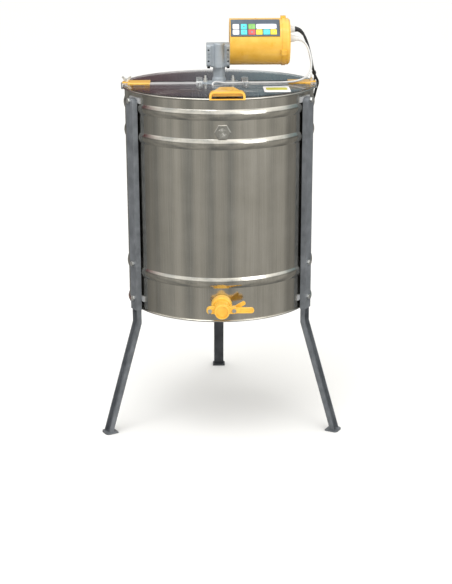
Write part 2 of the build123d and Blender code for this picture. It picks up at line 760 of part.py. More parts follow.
leaf_end = 86.0
leaf_screw_y = (52.0, 76.0)
notch = (-26.0, -3.0, -50.0)
for name, side in (("front", -1), ("back", 1)):
    near = sorted((side * lid_edge_y, side * 300))
    with BuildPart() as lid:
        rod((0, 0, lid_bottom), (0, 0, 1), lid_radius, lid_sheet)
        keep = sorted((side * lid_edge_y, -side * 300))
        block((-300, keep[0], lid_bottom - 1), (300, keep[1], lid_top + 1), Mode.SUBTRACT)
        if side < 0:
            block((notch[0], notch[2], lid_bottom - 1), (notch[1], 0, lid_top + 1), Mode.SUBTRACT)
        for x in hinge_places:
            for y in leaf_screw_y:
                rod((x, side * y, lid_bottom), (0, 0, 1), 2.0, lid_sheet, Mode.SUBTRACT)
    export(lid, f"{name}_lid")

    with BuildPart() as leaves:
        for x in hinge_places:
            plate = sorted((side * (hinge_y + 4.4), side * leaf_end))
            block((x - hinge_half, plate[0], lid_top), (x + hinge_half, plate[1], lid_top + leaf_sheet))
            for low_x in (x - hinge_half, x + 3.4):
                arm = sorted((side * hinge_y, side * (hinge_y + 4.4)))
                block((low_x, arm[0], lid_top + 0.2), (low_x + 5.1, arm[1], lid_top + leaf_sheet))
                rod((low_x, side * hinge_y, hinge_z), (1, 0, 0), knuckle_radius, 5.1)
            rod((x - hinge_half, side * hinge_y, hinge_z), (1, 0, 0), pin_radius, 2 * hinge_half)
            for y in leaf_screw_y:
                rod((x, side * y, lid_bottom), (0, 0, 1), 2.0, lid_sheet)
                rod((x, side * y, lid_top + leaf_sheet), (0, 0, 1), 4.0, 2.2)
    export(leaves, f"{name}_lid_hinges")

handle_x = 17.0
handle_half = 47.0
handle_front = -274.0
with BuildPart() as lid_handle:
    with BuildSketch(Plane.XZ.offset(-handle_front)) as hood:
        with Locations((handle_x, (lid_top + 983) / 2)):
            Rectangle(2 * handle_half, 983 - lid_top)
        fillet(hood.vertices().group_by(Axis.Y)[-1], 13)
    extrude(amount=-26)
    with BuildSketch(Plane.XZ.offset(-handle_front)):
        with Locations((handle_x, (lid_top + 961) / 2)):
            Rectangle(2 * handle_half, lid_top - 961)
    extrude(amount=-5)
    with BuildSketch(Plane.XZ.offset(-handle_front)) as recess:
        with Locations((handle_x, 971)):
            Rectangle(2 * handle_half - 12, 15)
        fillet(recess.vertices().group_by(Axis.Y)[-1], 7)
    extrude(amount=-14, mode=Mode.SUBTRACT)
    with BuildSketch(Plane.XY.offset(lid_top)):
        with BuildLine():
            Polyline(
                (handle_x - 38, -252),
                (handle_x - 18, -174),
                (handle_x + 18, -174),
                (handle_x + 38, -252),
                close=True,
            )
        make_face()
    extrude(amount=12)
export(lid_handle, "lid_handle")

with BuildPart() as lid_switch:
    block((2, -42, 950), (34, -bar_half_width, lid_bottom - 1.2))
    fillet(lid_switch.edges().filter_by(Axis.X), 1.5)
export(lid_switch, "lid_switch")

# ======== cords ========
def bend_radii(route):
    """The radius of each bend: as large as its two runs allow."""
    radii = []
    for before, corner, after in zip(route, route[1:], route[2:]):
        first = Vector(corner) - Vector(before)
        second = Vector(after) - Vector(corner)
        shorter = min(first.length, second.length)
        radii.append(0.45 * shorter / math.tan(math.radians(first.get_angle(second)) / 2))
    return radii


def cord(route, diameter, label):
    """A cord's tube along its route, with its length and radii printed."""
    radii = bend_radii(route)
    with BuildPart() as tube:
        with BuildLine() as path:
            FilletPolyline(*route, radius=radii)
        with BuildSketch(Plane(origin=path.line @ 0, z_dir=path.line % 0)):
            Circle(diameter / 2)
        sweep()
    length = sum(edge.length for edge in path.edges())
    section = math.pi * diameter**2 / 4
    print(label, "length", round(length, 1), "volume ratio", round(tube.part.volume / section / length, 4))
    print(label, "radii", [round(radius, 1) for radius in radii])
    export(tube, label)
    return tube.part


switch_diameter = 5.5
gland_end = cap_end + 15
switch_route = [
    (gland_end, switch_gland_y, switch_z),
    (218, switch_gland_y, switch_z),
    (234, -12.5, 1081),
    (245, -14, 1064),
    (251.5, -18, 1043),
    (255, -23, 1019),
    (250, -28.5, 997),
    (236, -32.5, 983),
    (212, -33.6, 974.5),
    (184, -33.6, 972.4),
    (160, -24, 970.4),
    (12, -23.5, 969.7),
    (-4, -24, 973),
    (-15, -30, 973.5),
    (-20, -38.5, 967),
    (-17, -41, 959),
    (-8, -37, 956.5),
    (2, -37, 956.5),
]
cord(switch_route, switch_diameter, "switch_cable")

# the stored length: a tied round coil that hangs on the cord hook
coil_outline = 282.0
coil_middle_z = 843.7
coil_radius = 40.0
coil_tube = 10.0


def on_coil(along, height, out=0.0):
    """A point beside the drum at the hook: along the wall, up, and outward from the coil's plane."""
    angle = math.radians(hook_azimuth)
    radius = coil_outline + out
    return (
        radius * math.cos(angle) - along * math.sin(angle),
        radius * math.sin(angle) + along * math.cos(angle),
        height,
    )


coil_plane = bore_plane(hook_azimuth, coil_outline, coil_middle_z)
with BuildPart() as mains_coil:
    with BuildLine(coil_plane) as ring:
        CenterArc((0, 0), coil_radius, 0, 360)
    with BuildSketch(Plane(origin=ring.line @ 0, z_dir=ring.line % 0)):
        Circle(coil_tube)
    sweep()
export(mains_coil, "mains_coil")

tie_span = 18
with BuildPart() as cord_tie:
    with BuildLine(coil_plane) as band:
        CenterArc((0, 0), coil_radius, -90 - tie_span / 2, tie_span)
    with BuildSketch(Plane(origin=band.line @ 0, z_dir=band.line % 0)):
        Circle(coil_tube + 1.5)
        Circle(coil_tube + 0.05, mode=Mode.SUBTRACT)
    sweep()
export(cord_tie, "cord_tie")

mains_diameter = 7.0
entry = math.radians(115)
mains_route = [
    (gland_end, 0, mains_z),
    (219, 0, mains_z),
    (233, 1, 1100),
    (243, 2, 1078),
    (250, 4, 1054),
    (256, 7, 1028),
    (261, 12, 1004),
    (269, 17, 980),
    (279, 27, 964),
    (274.5, 56, 940),
    (271, 73, 912),
    (263, 100, 893),
    (246, 138, 890),
    on_coil(
        (coil_radius + coil_tube) * math.cos(entry),
        coil_middle_z + (coil_radius + coil_tube) * math.sin(entry),
    ),
]
mains_tube = cord(mains_route, mains_diameter, "mains_cord")

clip_low = Vector(mains_route[7])
clip_high = Vector(mains_route[6])
clip_line = (clip_high - clip_low).normalized()
clip_middle = (clip_low + clip_high) / 2
with BuildPart() as cord_clip:
    rod(clip_middle - clip_line * 4, clip_line, mains_diameter / 2 + 2, 8)
    block((264.5, 12.5, clamp_top), (268.5, 15.5, clip_middle.Z))
    add(mains_tube, mode=Mode.SUBTRACT)
export(cord_clip, "cord_clip")

plug_top = 816.0
plug_along = 46.0
with BuildPart() as mains_plug:
    down = (0, 0, -1)
    with BuildSketch(Plane(origin=on_coil(plug_along, plug_top), z_dir=down)):
        Circle(4.5)
    with BuildSketch(Plane(origin=on_coil(plug_along, plug_top - 30), z_dir=down)):
        Circle(7)
    loft()
    rod(on_coil(plug_along, plug_top - 30), down, 18.0, 34)
    for across in (-9.5, 9.5):
        rod(on_coil(plug_along + across, plug_top - 64), down, 2.4, 19)
export(mains_plug, "mains_plug")
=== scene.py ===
import math
import bpy
import numpy as np
from mathutils import Matrix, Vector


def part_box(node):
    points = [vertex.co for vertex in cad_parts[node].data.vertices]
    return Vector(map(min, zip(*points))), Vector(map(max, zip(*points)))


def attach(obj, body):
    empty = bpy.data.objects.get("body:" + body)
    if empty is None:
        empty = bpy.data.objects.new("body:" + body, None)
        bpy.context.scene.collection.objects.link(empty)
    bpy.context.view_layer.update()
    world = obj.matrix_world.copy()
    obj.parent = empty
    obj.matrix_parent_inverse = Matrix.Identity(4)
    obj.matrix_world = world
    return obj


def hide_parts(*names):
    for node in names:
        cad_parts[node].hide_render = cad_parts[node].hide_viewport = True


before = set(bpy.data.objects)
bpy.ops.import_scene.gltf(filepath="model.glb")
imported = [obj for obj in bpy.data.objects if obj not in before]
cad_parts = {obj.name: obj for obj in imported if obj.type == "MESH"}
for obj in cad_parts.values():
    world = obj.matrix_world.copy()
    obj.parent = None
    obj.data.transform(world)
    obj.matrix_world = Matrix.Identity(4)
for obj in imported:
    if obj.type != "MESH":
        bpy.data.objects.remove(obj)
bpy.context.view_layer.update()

# Radial honey extractor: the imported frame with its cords, printed panel, labels and finishes.


# ---------- helpers ----------
def linear(hexColour, alpha=1.0):  # sRGB hex to the linear values that a shader wants
    parts = [int(hexColour[i:i + 2], 16) / 255 for i in (1, 3, 5)]
    return [c / 12.92 if c <= 0.04045 else ((c + 0.055) / 1.055) ** 2.4 for c in parts] + [alpha]


def addNode(tree, kind, inputs=None, **settings):  # one node, its settings, its values and its links
    node = tree.nodes.new(kind)
    for name, value in settings.items():
        setattr(node, name, value)
    for key, value in (inputs or {}).items():
        if isinstance(value, bpy.types.NodeSocket):
            tree.links.new(value, node.inputs[key])
        else:
            node.inputs[key].default_value = value
    return node


def addRamp(tree, factor, stops):  # a colour ramp from (place, colour) pairs
    ramp = addNode(tree, "ShaderNodeValToRGB", {0: factor})
    elements = ramp.color_ramp.elements
    while len(elements) < len(stops):
        elements.new(1.0)
    for element, (place, colour) in zip(elements, stops):
        element.position = place
        element.color = colour
    return ramp.outputs[0]


def meshPiece(name, verts, faces, material, body, slot, smooth=True):
    mesh = bpy.data.meshes.new(name)
    mesh.from_pydata(np.asarray(verts, dtype=float).tolist(), [], faces)
    mesh.polygons.foreach_set("use_smooth", [smooth] * len(mesh.polygons))
    mesh.materials.append(material)
    mesh.update()
    piece = bpy.data.objects.new(name, mesh)
    bpy.context.scene.collection.objects.link(piece)
    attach(piece, body)
    return piece


def gridFaces(rows, columns, start=0):  # quads of a grid whose columns close on themselves
    r, c = np.meshgrid(np.arange(rows - 1), np.arange(columns), indexing="ij")
    a = start + r * columns + c
    b = start + r * columns + (c + 1) % columns
    return np.stack([a, b, b + columns, a + columns], axis=-1).reshape(-1, 4).tolist()


def closeEnds(faces, rows, columns, start=0):  # one face over each open end of the grid
    first = [start + i for i in range(columns)]
    last = [start + (rows - 1) * columns + i for i in range(columns)]
    return faces + [first[::-1], last]


def joinShapes(shapes):  # several closed shapes as one list of points and faces
    verts, faces, start = [], [], 0
    for shapeVerts, shapeFaces in shapes:
        verts.append(shapeVerts)
        faces += [[i + start for i in face] for face in shapeFaces]
        start += len(shapeVerts)
    return np.concatenate(verts), faces


def padShape(centre, right, up, normal, halfWidth, halfHeight, thick, power=6.0, sides=48):
    # a superellipse outline |x|^p + |y|^p = 1, raised by thick with a rolled edge, flat below
    angle = np.linspace(0, 2 * math.pi, sides, endpoint=False)
    reach = (np.abs(np.cos(angle)) ** power + np.abs(np.sin(angle)) ** power) ** (-1 / power)
    edge = min(thick, halfWidth, halfHeight)
    rolledEdge = ((0.0, 0.0), (0.0, 0.55), (0.25, 0.9), (0.7, 1.0))  # inset and height, as shares
    rows = []
    for inset, height in rolledEdge:
        x = reach * np.cos(angle) * (halfWidth - inset * edge)
        y = reach * np.sin(angle) * (halfHeight - inset * edge)
        middle = np.asarray(centre) + height * thick * np.asarray(normal)
        rows.append(np.outer(x, right) + np.outer(y, up) + middle)
    verts = np.concatenate(rows)
    return verts, closeEnds(gridFaces(len(rows), sides), len(rows), sides)


def tubeShape(path, radii, sides=24):
    # a circle of the given radius carried along a path, each ring square to the path there
    path = np.asarray(path, dtype=float)
    along = np.gradient(path, axis=0)
    along /= np.linalg.norm(along, axis=1)[:, None]
    slanted = np.array([0.31, 0.94, 0.17])  # a direction that no stretch of cord runs along
    across = np.cross(along, slanted)
    across /= np.linalg.norm(across, axis=1)[:, None]
    other = np.cross(along, across)
    angle = np.linspace(0, 2 * math.pi, sides, endpoint=False)
    cosine, sine = np.cos(angle)[None, :, None], np.sin(angle)[None, :, None]
    ring = across[:, None, :] * cosine + other[:, None, :] * sine
    verts = (path[:, None, :] + ring * np.asarray(radii)[:, None, None]).reshape(-1, 3)
    return verts, closeEnds(gridFaces(len(path), sides), len(path), sides)


def objectCoords(tree, scale=(1, 1, 1)):
    coords = addNode(tree, "ShaderNodeTexCoord").outputs["Object"]
    return addNode(tree, "ShaderNodeMapping", {"Vector": coords, "Scale": scale}).outputs[0]


def newMaterial(name):
    material = bpy.data.materials.new(name)
    material.use_nodes = True
    tree = material.node_tree
    shader = tree.nodes["Principled BSDF"]
    return material, tree, shader


def noiseOf(tree, vector, size, detail=3.0, rough=0.5):  # noise with one cell about size metres across
    values = {"Vector": vector, "Scale": 1 / size, "Detail": detail, "Roughness": rough}
    return addNode(tree, "ShaderNodeTexNoise", values).outputs["Fac"]


def bumpOf(tree, height, strength, distance, shader):
    bump = addNode(tree, "ShaderNodeBump", {"Height": height, "Strength": strength, "Distance": distance})
    tree.links.new(bump.outputs[0], shader.inputs["Normal"])


def ranged(tree, value, fromLow, fromHigh, toLow=0.0, toHigh=1.0):  # one range of values onto another
    ends = {0: value, 1: fromLow, 2: fromHigh, 3: toLow, 4: toHigh}
    return addNode(tree, "ShaderNodeMapRange", ends).outputs[0]


def mapped(tree, value, low, high):  # noise, which stays within about 0.3..0.7, to low..high
    return ranged(tree, value, 0.3, 0.7, low, high)


def blended(tree, factor, first, second, **settings):  # two colours mixed by a factor
    mix = addNode(tree, "ShaderNodeMix", {0: factor, 6: first, 7: second}, data_type="RGBA", **settings)
    return mix.outputs[2]


# ---------- materials ----------
def makeStainless(name, dark, light, rough, streak, tilt=(0, 0, 0), anisotropic=0.3):
    # rolled stainless sheet, mill-polished along its length: fine streaks, cloudy handling marks
    material, tree, shader = newMaterial(name)
    coords = addNode(tree, "ShaderNodeTexCoord").outputs["Object"]
    drawnOut = {"Vector": coords, "Scale": streak, "Rotation": tilt}
    lined = addNode(tree, "ShaderNodeMapping", drawnOut).outputs[0]
    lines = noiseOf(tree, lined, 0.0022, 4.0, 0.6)
    clouds = noiseOf(tree, coords, 0.09, 3.0)
    both = addNode(tree, "ShaderNodeMath", {0: lines, 1: clouds}, operation="ADD").outputs[0]
    half = addNode(tree, "ShaderNodeMath", {0: both, 1: 0.5}, operation="MULTIPLY").outputs[0]
    colour = addRamp(tree, half, [(0.35, linear(dark)), (0.65, linear(light))])
    tree.links.new(colour, shader.inputs["Base Color"])
    tree.links.new(mapped(tree, half, rough[0], rough[1]), shader.inputs["Roughness"])
    shader.inputs["Metallic"].default_value = 1.0
    shader.inputs["Anisotropic"].default_value = anisotropic
    bumpOf(tree, lines, 0.12, 0.0002, shader)
    return material


def makePaint(name, dark, light, rough, metallic, dimple, depth):
    # hammered or orange-peel paint: small soft dimples, a tone that drifts
    material, tree, shader = newMaterial(name)
    coords = objectCoords(tree)
    cells = {"Vector": coords, "Scale": 1 / dimple}
    dimples = addNode(tree, "ShaderNodeTexVoronoi", cells, feature="SMOOTH_F1").outputs["Distance"]
    drift = noiseOf(tree, coords, 0.035, 5.0, 0.6)
    colour = addRamp(tree, drift, [(0.3, linear(dark)), (0.7, linear(light))])
    tree.links.new(colour, shader.inputs["Base Color"])
    tree.links.new(mapped(tree, drift, rough[0], rough[1]), shader.inputs["Roughness"])
    shader.inputs["Metallic"].default_value = metallic
    bumpOf(tree, dimples, depth, 0.0006, shader)
    return material


def makePlastic(name, base, shade, rough, grain=0.0011, depth=0.15, coat=0.0, glow=0.0):
    # moulded plastic: fine spark-eroded grain, faint flow clouds, a slightly uneven sheen
    material, tree, shader = newMaterial(name)
    coords = objectCoords(tree)
    fine = noiseOf(tree, coords, grain, 2.0)
    flow = noiseOf(tree, coords, 0.028, 4.0, 0.55)
    colour = addRamp(tree, flow, [(0.32, linear(shade)), (0.62, linear(base))])
    tree.links.new(colour, shader.inputs["Base Color"])
    tree.links.new(mapped(tree, flow, rough[0], rough[1]), shader.inputs["Roughness"])
    shader.inputs["IOR"].default_value = 1.5
    shader.inputs["Coat Weight"].default_value = coat
    shader.inputs["Subsurface Weight"].default_value = glow
    shader.inputs["Subsurface Radius"].default_value = (0.004, 0.003, 0.001)
    bumpOf(tree, fine, depth, 0.0002, shader)
    return material


def makeClearLid():
    # clear polycarbonate sheet: it shows what lies under it, mirrors at a low angle, and has wipe marks
    material, tree, shader = newMaterial("polycarbonateSheet")
    coords = objectCoords(tree, (1, 7, 1))
    wipes = noiseOf(tree, coords, 0.006, 5.0, 0.7)
    tint = addRamp(tree, wipes, [(0.3, linear("#33363A")), (0.7, linear("#42464A"))])
    tree.links.new(tint, shader.inputs["Base Color"])
    tree.links.new(mapped(tree, wipes, 0.03, 0.10), shader.inputs["Roughness"])
    sheetIor = 1.58
    gloss = addNode(tree, "ShaderNodeFresnel", {"IOR": sheetIor}).outputs[0]
    tree.links.new(ranged(tree, gloss, 0.05, 0.5, 0.14, 0.54), shader.inputs["Alpha"])
    shader.inputs["IOR"].default_value = sheetIor
    shader.inputs["Specular IOR Level"].default_value = 0.8
    shader.inputs["Coat Weight"].default_value = 1.0
    shader.inputs["Coat Roughness"].default_value = 0.03
    return material


print("materials")
mat = {
    "drum": makeStainless("polishedStainlessSheet", "#BDBAB1", "#CFCCC4", (0.10, 0.2), (1, 1, 0.012)),
    "floor": makeStainless("stainlessDrumFloor", "#8F8E88", "#B0AFA9", (0.25, 0.4), (1, 0.05, 1)),
    "bar": makeStainless("brushedStainlessBar", "#D2D2D3", "#F1F1F2", (0.34, 0.5), (0.02, 1, 1)),
    "hinge": makeStainless("pressedStainlessHinge", "#A9ABAC", "#D5D7D8", (0.2, 0.36), (0.3, 1, 1)),
    "zinc": makeStainless("brightZincPlate", "#D2D3D0", "#F0F0EC", (0.34, 0.5), (1, 1, 0.4)),
    "reel": makeStainless("stainlessWire", "#A5A6A4", "#CFD0CE", (0.2, 0.34), (1, 1, 0.1)),
    "steel": makeStainless("groundShaftSteel", "#8D8F90", "#B5B7B8", (0.18, 0.3), (0.2, 1, 1)),
    "bronze": makeStainless("castBronze", "#8A6A38", "#B48F52", (0.3, 0.48), (1, 1, 1)),
    "badge": makeStainless("pressedBadge", "#A3A29C", "#D3D2CC", (0.14, 0.28), (1, 1, 0.3)),
    "leg": makePaint("hammeredGreyPaint", "#5E6267", "#7D8186", (0.36, 0.5), 0.35, 0.0034, 0.35),
    # back legs: the same hammered grey paint as the other legs, darkened as painted shade for their shaded
    # inner side
    "backLegPaintedShade": makePaint("hammeredPaintWithPaintedShade", "#3C3E41", "#55585C", (0.4, 0.56), 0.45, 0.0034, 0.35),
    "gearbox": makePaint("greyPaintedCasting", "#98A1A9", "#B0B8BE", (0.36, 0.5), 0.1, 0.0021, 0.3),
    "pad": makePaint("lightGreyPad", "#9A9C9E", "#B5B6B7", (0.4, 0.55), 0.2, 0.0028, 0.4),
    "oxide": makePaint("blackOxideScrew", "#1F2124", "#34373A", (0.35, 0.5), 0.6, 0.0016, 0.2),
    "yellow": makePlastic("yellowPolycarbonate", "#EFBC50", "#E7AF3E", (0.26, 0.36), coat=0.35),
    "nylon": makePlastic("yellowNylon", "#ECBA48", "#DFA838", (0.32, 0.46), glow=0.04),
    "rubber": makePlastic("blackRubber", "#1B1C1E", "#121315", (0.5, 0.66)),
    "blackPvc": makePlastic("blackPvcSheath", "#202124", "#151619", (0.38, 0.5)),
    "whitePvc": makePlastic("whitePvcSheath", "#DADBDB", "#C9CBCC", (0.3, 0.42)),
    "gland": makePlastic("whiteNylonGland", "#D6D8D9", "#C4C7C9", (0.34, 0.46)),
    "foil": makePlastic("slateMembraneFoil", "#56626F", "#4B5663", (0.38, 0.5), 0.0006, 0.08),
    "fieldWhite": makePlastic("printedWhiteField", "#F3F3F5", "#E6E6EA", (0.32, 0.42), 0.0006, 0.06),
    "display": makePlastic("displayWindow", "#E9E9F2", "#DCDCE8", (0.12, 0.2), 0.0009, 0.03, coat=0.6),
    "cyan": makePlastic("cyanMembraneKey", "#5FD8DC", "#4FC8CE", (0.3, 0.4), 0.0006, 0.08),
    "green": makePlastic("greenMembraneKey", "#8CC46E", "#7BB45C", (0.3, 0.4), 0.0006, 0.08),
    "red": makePlastic("redMembraneKey", "#E8625E", "#D9534F", (0.3, 0.4), 0.0006, 0.08),
    "keyYellow": makePlastic("yellowMembraneKey", "#F5E04A", "#EAD038", (0.3, 0.4), 0.0006, 0.08),
    "legend": makePlastic("printedGreyLegend", "#8A929A", "#79828B", (0.4, 0.5), 0.0006, 0.05),
    "band": makePlastic("printedYellowBand", "#C9C63F", "#B7B531", (0.34, 0.44), 0.0008, 0.05),
    "lid": makeClearLid(),
}

nodeFinish = {
    "drum": ["drum_shell"], "floor": ["drum_floor"], "badge": ["badge"], "bar": ["cross_bar"],
    "hinge": ["fixed_hinges", "front_lid_hinges", "back_lid_hinges", "rim_hooks"],
    "zinc": ["leg_bolts", "valve_screws", "plate_bolts", "left_wing_nut", "right_wing_nut", "cord_hook"],
    "reel": ["reel_wheels", "reel_bars"], "steel": ["reel_shaft", "motor_shaft", "motor_can"],
    "bronze": ["reel_bearings", "worm_wheel"],
    "leg": ["left_leg_upper", "right_leg_upper", "left_leg_lower", "right_leg_lower"],
    "backLegPaintedShade": ["back_leg_upper", "back_leg_lower"], "pad": ["leg_pads"], "oxide": ["gearbox_screws"],
    "gearbox": ["gearbox_column", "gearbox_housing", "gearbox_cover"],
    "yellow": ["left_clamp", "right_clamp", "lid_handle", "motor_housing", "motor_end_cap"],
    "nylon": ["valve_nut", "valve_body", "valve_gate", "valve_thumb_nut"],
    "rubber": ["valve_seal", "lid_switch", "cord_clip", "cord_tie"], "blackPvc": ["mains_plug"],
    "gland": ["cable_glands"], "foil": ["control_panel"],
    "cyan": ["lamp_key_upper", "lamp_key_lower", "menu_key"], "green": ["start_key"], "red": ["stop_key"],
    "keyYellow": ["minus_key", "plus_key"], "lid": ["front_lid", "back_lid"],
}
for finish, nodes in nodeFinish.items():
    for node in nodes:
        slots = bpy.data.objects[node].data.materials
        slots.clear()
        slots.append(mat[finish])


# ---------- cords ----------
mains = {
    "diameter": 0.007, "length": 1.5,
    "route": [
        (0.209, 0, 1.113), (0.219, 0, 1.113), (0.233, 0.001, 1.100), (0.243, 0.002, 1.078),
        (0.250, 0.004, 1.054), (0.256, 0.007, 1.028), (0.261, 0.012, 1.004), (0.269, 0.017, 0.980),
        (0.279, 0.027, 0.964), (0.2745, 0.056, 0.940), (0.271, 0.073, 0.912), (0.263, 0.100, 0.893),
        (0.246, 0.138, 0.890),
    ],
    "coilPlane": 0.282, "coilHeight": 0.8437, "coilRadius": 0.040, "strandOffset": 0.0061, "strands": 5,
    "entry": 115, "azimuth": 48, "tail": [(0.0462, 0.829), (0.0462, 0.822), (0.0462, 0.814)],
}
switch = {
    "diameter": 0.0055, "length": 0.425,
    "route": [
        (0.209, -0.012, 1.089), (0.218, -0.012, 1.089), (0.234, -0.0125, 1.081),
        (0.245, -0.014, 1.064), (0.2515, -0.018, 1.043), (0.255, -0.023, 1.019),
        (0.250, -0.0285, 0.997), (0.236, -0.0325, 0.983), (0.212, -0.0336, 0.9745),
        (0.184, -0.0336, 0.9724), (0.160, -0.024, 0.9704), (0.136, -0.0239, 0.9703),
        (0.029, -0.0236, 0.9698), (0.012, -0.0235, 0.9697), (-0.004, -0.024, 0.973),
        (-0.015, -0.030, 0.9735), (-0.020, -0.0385, 0.967), (-0.017, -0.041, 0.959),
        (-0.008, -0.037, 0.9565), (0.002, -0.037, 0.9565),
    ],
}


def besideDrum(along, height, out=0.0):  # a point on the upright plane that the stored coil hangs in
    angle = math.radians(mains["azimuth"])
    radius = mains["coilPlane"] + out
    x = radius * math.cos(angle) - along * math.sin(angle)
    y = radius * math.sin(angle) + along * math.cos(angle)
    return (x, y, height)


def coilPoints(perTurn=24):
    # turns of one ring, each strand a fifth of a turn round the bundle's own centre from the last
    turns = mains["strands"] - 1 + mains["entry"] / 360
    points = []
    for step in range(int(round(turns * perTurn)) + 1):
        done = step / perTurn
        place = math.radians(mains["entry"]) - done * 2 * math.pi
        twist = 2 * math.pi * (done - turns) / mains["strands"]
        reach = mains["coilRadius"] + mains["strandOffset"] * math.cos(twist)
        out = mains["strandOffset"] * math.sin(twist)
        height = mains["coilHeight"] + reach * math.sin(place)
        points.append(besideDrum(reach * math.cos(place), height, out))
    return points


def makeCord(name, points, diameter, material):
    curve = bpy.data.curves.new(name, "CURVE")
    curve.dimensions = "3D"
    curve.bevel_depth = diameter / 2
    curve.bevel_resolution = 5
    curve.resolution_u = 8
    curve.use_fill_caps = True
    spline = curve.splines.new("NURBS")
    spline.points.add(len(points) - 1)
    for point, place in zip(spline.points, points):
        point.co = (*place, 1.0)
    spline.order_u = 3
    spline.use_endpoint_u = True
    curve.materials.append(material)
    piece = bpy.data.objects.new(name, curve)
    bpy.context.scene.collection.objects.link(piece)
    return piece


def linePoints(piece):  # the cord's own centreline, read back from its spline
    bare = piece.data.copy()
    bare.bevel_depth = 0
    ghost = bpy.data.objects.new("ghost", bare)
    bpy.context.scene.collection.objects.link(ghost)
    mesh = bpy.data.meshes.new_from_object(ghost)
    points = np.empty(len(mesh.vertices) * 3)
    mesh.vertices.foreach_get("co", points)
    bpy.data.objects.remove(ghost)
    bpy.data.meshes.remove(mesh)
    bpy.data.curves.remove(bare)
    return points.reshape(-1, 3)


def stretchOf(line, start, end, count):  # even points of a line between two distances along it
    run = np.concatenate([[0], np.cumsum(np.linalg.norm(np.diff(line, axis=0), axis=1))])
    wanted = np.linspace(start, end, count)
    return np.stack([np.interp(wanted, run, line[:, i]) for i in range(3)], axis=1)


boot = {
    "length": 0.028, "root": 0.0078, "lip": 0.0007, "taper": 0.8, "steps": 61, "sides": 28,
    "rings": 6, "groove": 0.0006, "grooved": (0.12, 0.92),
}


def makeBoot(name, line, diameter, material, slot):
    # a tapered sleeve round the cord's first stretch, with grooves that let it bend
    path = stretchOf(line, 0.0, boot["length"], boot["steps"])
    share = np.linspace(0, 1, boot["steps"])
    tip = diameter / 2 + boot["lip"]
    radii = boot["root"] + (tip - boot["root"]) * share ** boot["taper"]
    first, last = boot["grooved"]
    wave = 0.5 + 0.5 * np.cos(share * boot["rings"] * 2 * math.pi)
    radii -= boot["groove"] * wave * (share > first) * (share < last)
    return meshPiece(name, *tubeShape(path, radii, boot["sides"]), material, "frame", slot)


print("cords")
mainsPoints = mains["route"] + coilPoints() + [besideDrum(*point) for point in mains["tail"]]
mainsCord = makeCord("mainsCord", mainsPoints, mains["diameter"], mat["blackPvc"])
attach(mainsCord, "frame")
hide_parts("mains_cord", "mains_coil")
switchCord = makeCord("switchCord", switch["route"], switch["diameter"], mat["whitePvc"])
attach(switchCord, "frame")
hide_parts("switch_cable")
mainsLine, switchLine = linePoints(mainsCord), linePoints(switchCord)
mainsBoot = makeBoot("mainsBoot", mainsLine, mains["diameter"], mat["blackPvc"], "black_rubber")
switchBoot = makeBoot("switchBoot", switchLine, switch["diameter"], mat["whitePvc"], "white_pvc")


# ---------- control panel ----------
panelLow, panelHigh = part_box("control_panel")
panel = {"tilt": 48, "lift": 0.00125}
panelAngle = math.radians(panel["tilt"])
panelNormal = np.array([0, -math.cos(panelAngle), math.sin(panelAngle)])
panelUp = np.array([0, math.sin(panelAngle), math.cos(panelAngle)])
panelRight = np.array([1.0, 0, 0])
panelCentre = (np.array(panelLow) + np.array(panelHigh)) / 2 + panelNormal * panel["lift"]


def onPanel(x, s, lift=0.0):  # x along the object, s up the panel's slope from its middle line
    point = panelCentre + panelUp * s + panelNormal * lift
    point[0] = x
    return point


printed = {  # the thickness of each printed or raised patch, and how deep its foot is set in
    "sink": 0.00005, "field": 0.0004, "display": 0.0007, "bar": 0.0002, "barLift": 0.00035,
    "barHalf": (0.0042, 0.0006), "mark": 0.00025, "keyHalf": 0.0012,
}


def panelPad(x, s, halfWidth, halfHeight, thick, lift=-printed["sink"], power=8.0):
    centre = onPanel(x, s, lift)
    return padShape(centre, panelRight, panelUp, panelNormal, halfWidth, halfHeight, thick, power)


fields = {  # each place is x, s, half width, half height; the bars are x, s
    "white": [(0.0456, 0.0042, 0.0088, 0.0088), (0.0456, -0.0158, 0.0088, 0.0088)],
    "display": (0.1286, 0.0042, 0.0280, 0.0088),
    "bars": [(0.0456, 0.0078), (0.0456, 0.0008), (0.0456, -0.0122), (0.0456, -0.0192)],
}
print("panel")
whitePads = joinShapes([panelPad(*place, printed["field"]) for place in fields["white"]])
meshPiece("printedFields", *whitePads, mat["fieldWhite"], "frame", "white_pvc")
displayPad = panelPad(*fields["display"], printed["display"])
meshPiece("displayWindow", *displayPad, mat["display"], "frame", "white_pvc")
barPads = joinShapes([
    panelPad(*place, *printed["barHalf"], printed["bar"], printed["barLift"], 3)
    for place in fields["bars"]
])
meshPiece("fieldLegend", *barPads, mat["legend"], "frame", "panel_foil")

signs = {  # half width and half height of the strokes of each key's sign
    "plus_key": [(0.0032, 0.0007), (0.0007, 0.0032)],
    "minus_key": [(0.0032, 0.0007)],
    "start_key": [(0.0007, 0.0034)],
    "stop_key": [(0.0030, 0.0030)],
    "menu_key": [(0.0034, 0.0006)],
    "lamp_key_upper": [(0.0022, 0.0022)],
    "lamp_key_lower": [(0.0022, 0.0022)],
}
for key, marks in signs.items():
    low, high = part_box(key)
    middle = (np.array(low) + np.array(high)) / 2
    face = middle + panelNormal * (printed["keyHalf"] - printed["sink"])
    shapes = [
        padShape(face, panelRight, panelUp, panelNormal, w, h, printed["mark"], 3.0, 32)
        for w, h in marks
    ]
    meshPiece(key + "Mark", *joinShapes(shapes), mat["legend"], key, "panel_foil")

